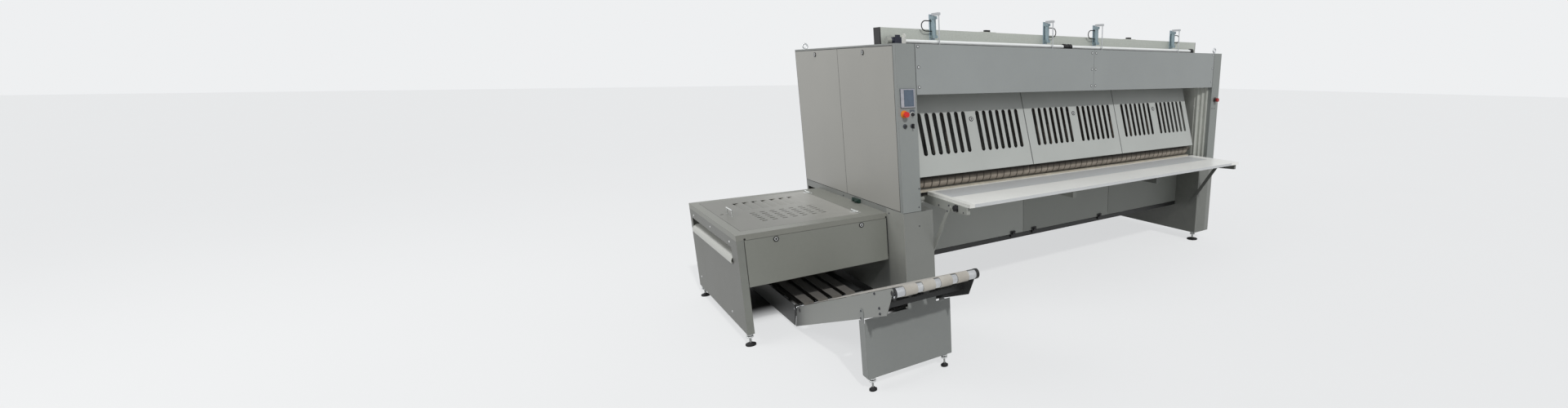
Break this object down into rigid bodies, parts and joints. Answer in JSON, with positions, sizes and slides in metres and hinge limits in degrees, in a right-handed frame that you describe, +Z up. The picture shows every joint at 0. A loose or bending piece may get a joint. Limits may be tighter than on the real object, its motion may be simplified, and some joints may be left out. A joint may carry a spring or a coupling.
{
  "type": "flatwork folder",
  "caption": "Laundry folding machine: infeed table, slotted guards and belts between two housings, side stacker, and an inclined delivery conveyor on a stand.",
  "frame": {"origin": "on the floor under the middle of the whole machine's bounding box", "axes": "+X to the right along the infeed table, seen by a person who feeds it, +Y away from that person to the back, +Z up"},
  "size_m": [5.138, 3.2306, 2.34],
  "materials": {
    "paint": "satin",
    "shade_paint": "satin",
    "zinc": "satin",
    "steel": "satin",
    "chrome": "polished",
    "belt": "matt",
    "strip": "matt",
    "white_paint": "satin",
    "black_plastic": "matt",
    "black_metal": "satin",
    "green_plastic": "matt",
    "red_plastic": "gloss",
    "yellow_plastic": "matt"
  },
  "bodies": {
    "machine": {"left_housing": "shade_paint", "left_column": "paint", "left_pedestal": "paint", "right_housing": "shade_paint", "right_column": "paint", "right_pedestal": "paint", "fascia_panels": "paint", "outer_covers": "shade_paint", "cross_frame": "shade_paint", "hinge_rods": "steel", "infeed_belts": "belt", "fold_belts": "belt", "nosing_strip": "strip", "table_tray": "steel", "table_board": "white_paint", "table_arms": "paint", "lower_panel_right": "shade_paint", "top_beam": "zinc", "lift_cylinders": "zinc", "air_hoses": "black_plastic", "shaft_mounts": "white_paint", "shaft_motor": "black_metal", "lifting_eyes": "chrome", "operator_panel": "shade_paint", "stop_switch_bases": "yellow_plastic", "levelling_feet": "black_metal", "side_connector": "green_plastic", "stacker_frame": "paint", "stacker_side_panel": "paint", "output_lip": "paint", "stacker_guides": "chrome", "incline_frame": "paint", "incline_belts": "belt", "delivery_stand": "paint"},
    "side_door_front": {"side_door_front": "paint"},
    "side_door_rear": {"side_door_rear": "paint"},
    "guard_left": {"guard_left": "paint"},
    "guard_middle": {"guard_middle": "paint"},
    "guard_right": {"guard_right": "paint"},
    "infeed_roller": {"infeed_roller": "steel"},
    "rear_roller": {"rear_roller": "steel"},
    "fold_roller": {"fold_roller": "steel"},
    "lower_panel_left": {"lower_panel_left": "shade_paint"},
    "lower_panel_middle": {"lower_panel_middle": "shade_paint"},
    "left_press_bar": {"left_press_bar": "steel"},
    "right_press_bar": {"right_press_bar": "steel"},
    "cross_shaft": {"cross_shaft": "steel"},
    "left_stop_button": {"left_stop_button": "red_plastic"},
    "right_stop_button": {"right_stop_button": "red_plastic"},
    "start_button": {"start_button": "black_plastic"},
    "mode_selector": {"mode_selector": "black_plastic"},
    "key_dial": {"key_dial": "black_plastic"},
    "stacker_lid": {"stacker_lid": "paint"},
    "stacker_front_panel": {"stacker_front_panel": "paint"},
    "lift_table": {"lift_table": "shade_paint", "lift_belts": "belt"},
    "lift_front_roller": {"lift_front_roller": "chrome"},
    "lift_rear_roller": {"lift_rear_roller": "chrome"},
    "incline_front_roller": {"incline_front_roller": "chrome"},
    "incline_tail_roller": {"incline_tail_roller": "chrome"}
  },
  "joints": [
    {"name": "side_door_front_hinge", "type": "hinge", "parent": "machine", "child": "side_door_front", "pos_m": [-1.425, 0.17331, 0.876], "axis": [0, -1, 0], "range_deg": [0, 15]},
    {"name": "side_door_rear_hinge", "type": "hinge", "parent": "machine", "child": "side_door_rear", "pos_m": [-1.425, 1.13331, 0.876], "axis": [0, -1, 0], "range_deg": [0, 15]},
    {"name": "guard_left_hinge", "type": "hinge", "parent": "machine", "child": "guard_left", "pos_m": [-0.69533, -0.09729, 1.771], "axis": [-1, 0, 0], "range_deg": [0, 55]},
    {"name": "guard_middle_hinge", "type": "hinge", "parent": "machine", "child": "guard_middle", "pos_m": [0.464, -0.09729, 1.771], "axis": [-1, 0, 0], "range_deg": [0, 55]},
    {"name": "guard_right_hinge", "type": "hinge", "parent": "machine", "child": "guard_right", "pos_m": [1.62333, -0.09729, 1.771], "axis": [-1, 0, 0], "range_deg": [0, 55]},
    {"name": "infeed_roller_spin", "type": "hinge", "parent": "machine", "child": "infeed_roller", "pos_m": [0.518, -0.18169, 1.062], "axis": [1, 0, 0], "continuous": true},
    {"name": "rear_roller_spin", "type": "hinge", "parent": "machine", "child": "rear_roller", "pos_m": [0.518, 0.75331, 1.062], "axis": [1, 0, 0], "continuous": true},
    {"name": "fold_roller_spin", "type": "hinge", "parent": "machine", "child": "fold_roller", "pos_m": [0.518, 0.21331, 1.79], "axis": [1, 0, 0], "continuous": true},
    {"name": "lower_panel_left_hinge", "type": "hinge", "parent": "machine", "child": "lower_panel_left", "pos_m": [-0.593, -0.03469, 0.897], "axis": [-1, 0, 0], "range_deg": [0, 30]},
    {"name": "lower_panel_middle_hinge", "type": "hinge", "parent": "machine", "child": "lower_panel_middle", "pos_m": [0.569, -0.03469, 0.897], "axis": [-1, 0, 0], "range_deg": [0, 30]},
    {"name": "left_press_lift", "type": "slide", "parent": "machine", "child": "left_press_bar", "axis": [0, 0, 1], "range_m": [0, 0.05]},
    {"name": "right_press_lift", "type": "slide", "parent": "machine", "child": "right_press_bar", "axis": [0, 0, 1], "range_m": [0, 0.05]},
    {"name": "cross_shaft_spin", "type": "hinge", "parent": "machine", "child": "cross_shaft", "pos_m": [0.55, -0.10169, 2.1215], "axis": [1, 0, 0], "continuous": true},
    {"name": "left_stop_push", "type": "slide", "parent": "machine", "child": "left_stop_button", "axis": [0, 1, 0], "range_m": [0, 0.004]},
    {"name": "right_stop_push", "type": "slide", "parent": "machine", "child": "right_stop_button", "axis": [0, 1, 0], "range_m": [0, 0.004]},
    {"name": "start_push", "type": "slide", "parent": "machine", "child": "start_button", "axis": [0, 1, 0], "range_m": [0, 0.003], "stiffness_N_per_m": 300},
    {"name": "mode_turn", "type": "hinge", "parent": "machine", "child": "mode_selector", "pos_m": [-1.32, -0.34669, 1.513], "axis": [0, 1, 0], "range_deg": [-45, 45]},
    {"name": "key_turn", "type": "hinge", "parent": "machine", "child": "key_dial", "pos_m": [-1.317, -0.34669, 1.597], "axis": [0, 1, 0], "range_deg": [0, 90]},
    {"name": "stacker_lid_hinge", "type": "hinge", "parent": "machine", "child": "stacker_lid", "pos_m": [-1.606, 0.63331, 0.8304], "axis": [0, 1, 0], "range_deg": [0, 80]},
    {"name": "stacker_front_hinge", "type": "hinge", "parent": "machine", "child": "stacker_front_panel", "pos_m": [-1.971, -0.06069, 0.453], "axis": [1, 0, 0], "range_deg": [0, 90]},
    {"name": "lift_slide", "type": "slide", "parent": "machine", "child": "lift_table", "axis": [0, 0, 1], "range_m": [0, 0.34]},
    {"name": "lift_front_spin", "type": "hinge", "parent": "lift_table", "child": "lift_front_roller", "pos_m": [-1.909, 0.02831, 0.172], "axis": [1, 0, 0], "continuous": true},
    {"name": "lift_rear_spin", "type": "hinge", "parent": "lift_table", "child": "lift_rear_roller", "pos_m": [-1.909, 1.17731, 0.172], "axis": [1, 0, 0], "continuous": true},
    {"name": "incline_front_spin", "type": "hinge", "parent": "machine", "child": "incline_front_roller", "pos_m": [-1.909, -1.58431, 0.75666], "axis": [1, 0, 0], "continuous": true},
    {"name": "incline_tail_spin", "type": "hinge", "parent": "machine", "child": "incline_tail_roller", "pos_m": [-1.909, -0.08099, 0.1916], "axis": [1, 0, 0], "continuous": true}
  ],
  "couplings": [
    {"joint": "rear_roller_spin", "follows": "infeed_roller_spin", "ratio": 1},
    {"joint": "lift_rear_spin", "follows": "lift_front_spin", "ratio": 1},
    {"joint": "incline_tail_spin", "follows": "incline_front_spin", "ratio": 1}
  ]
}
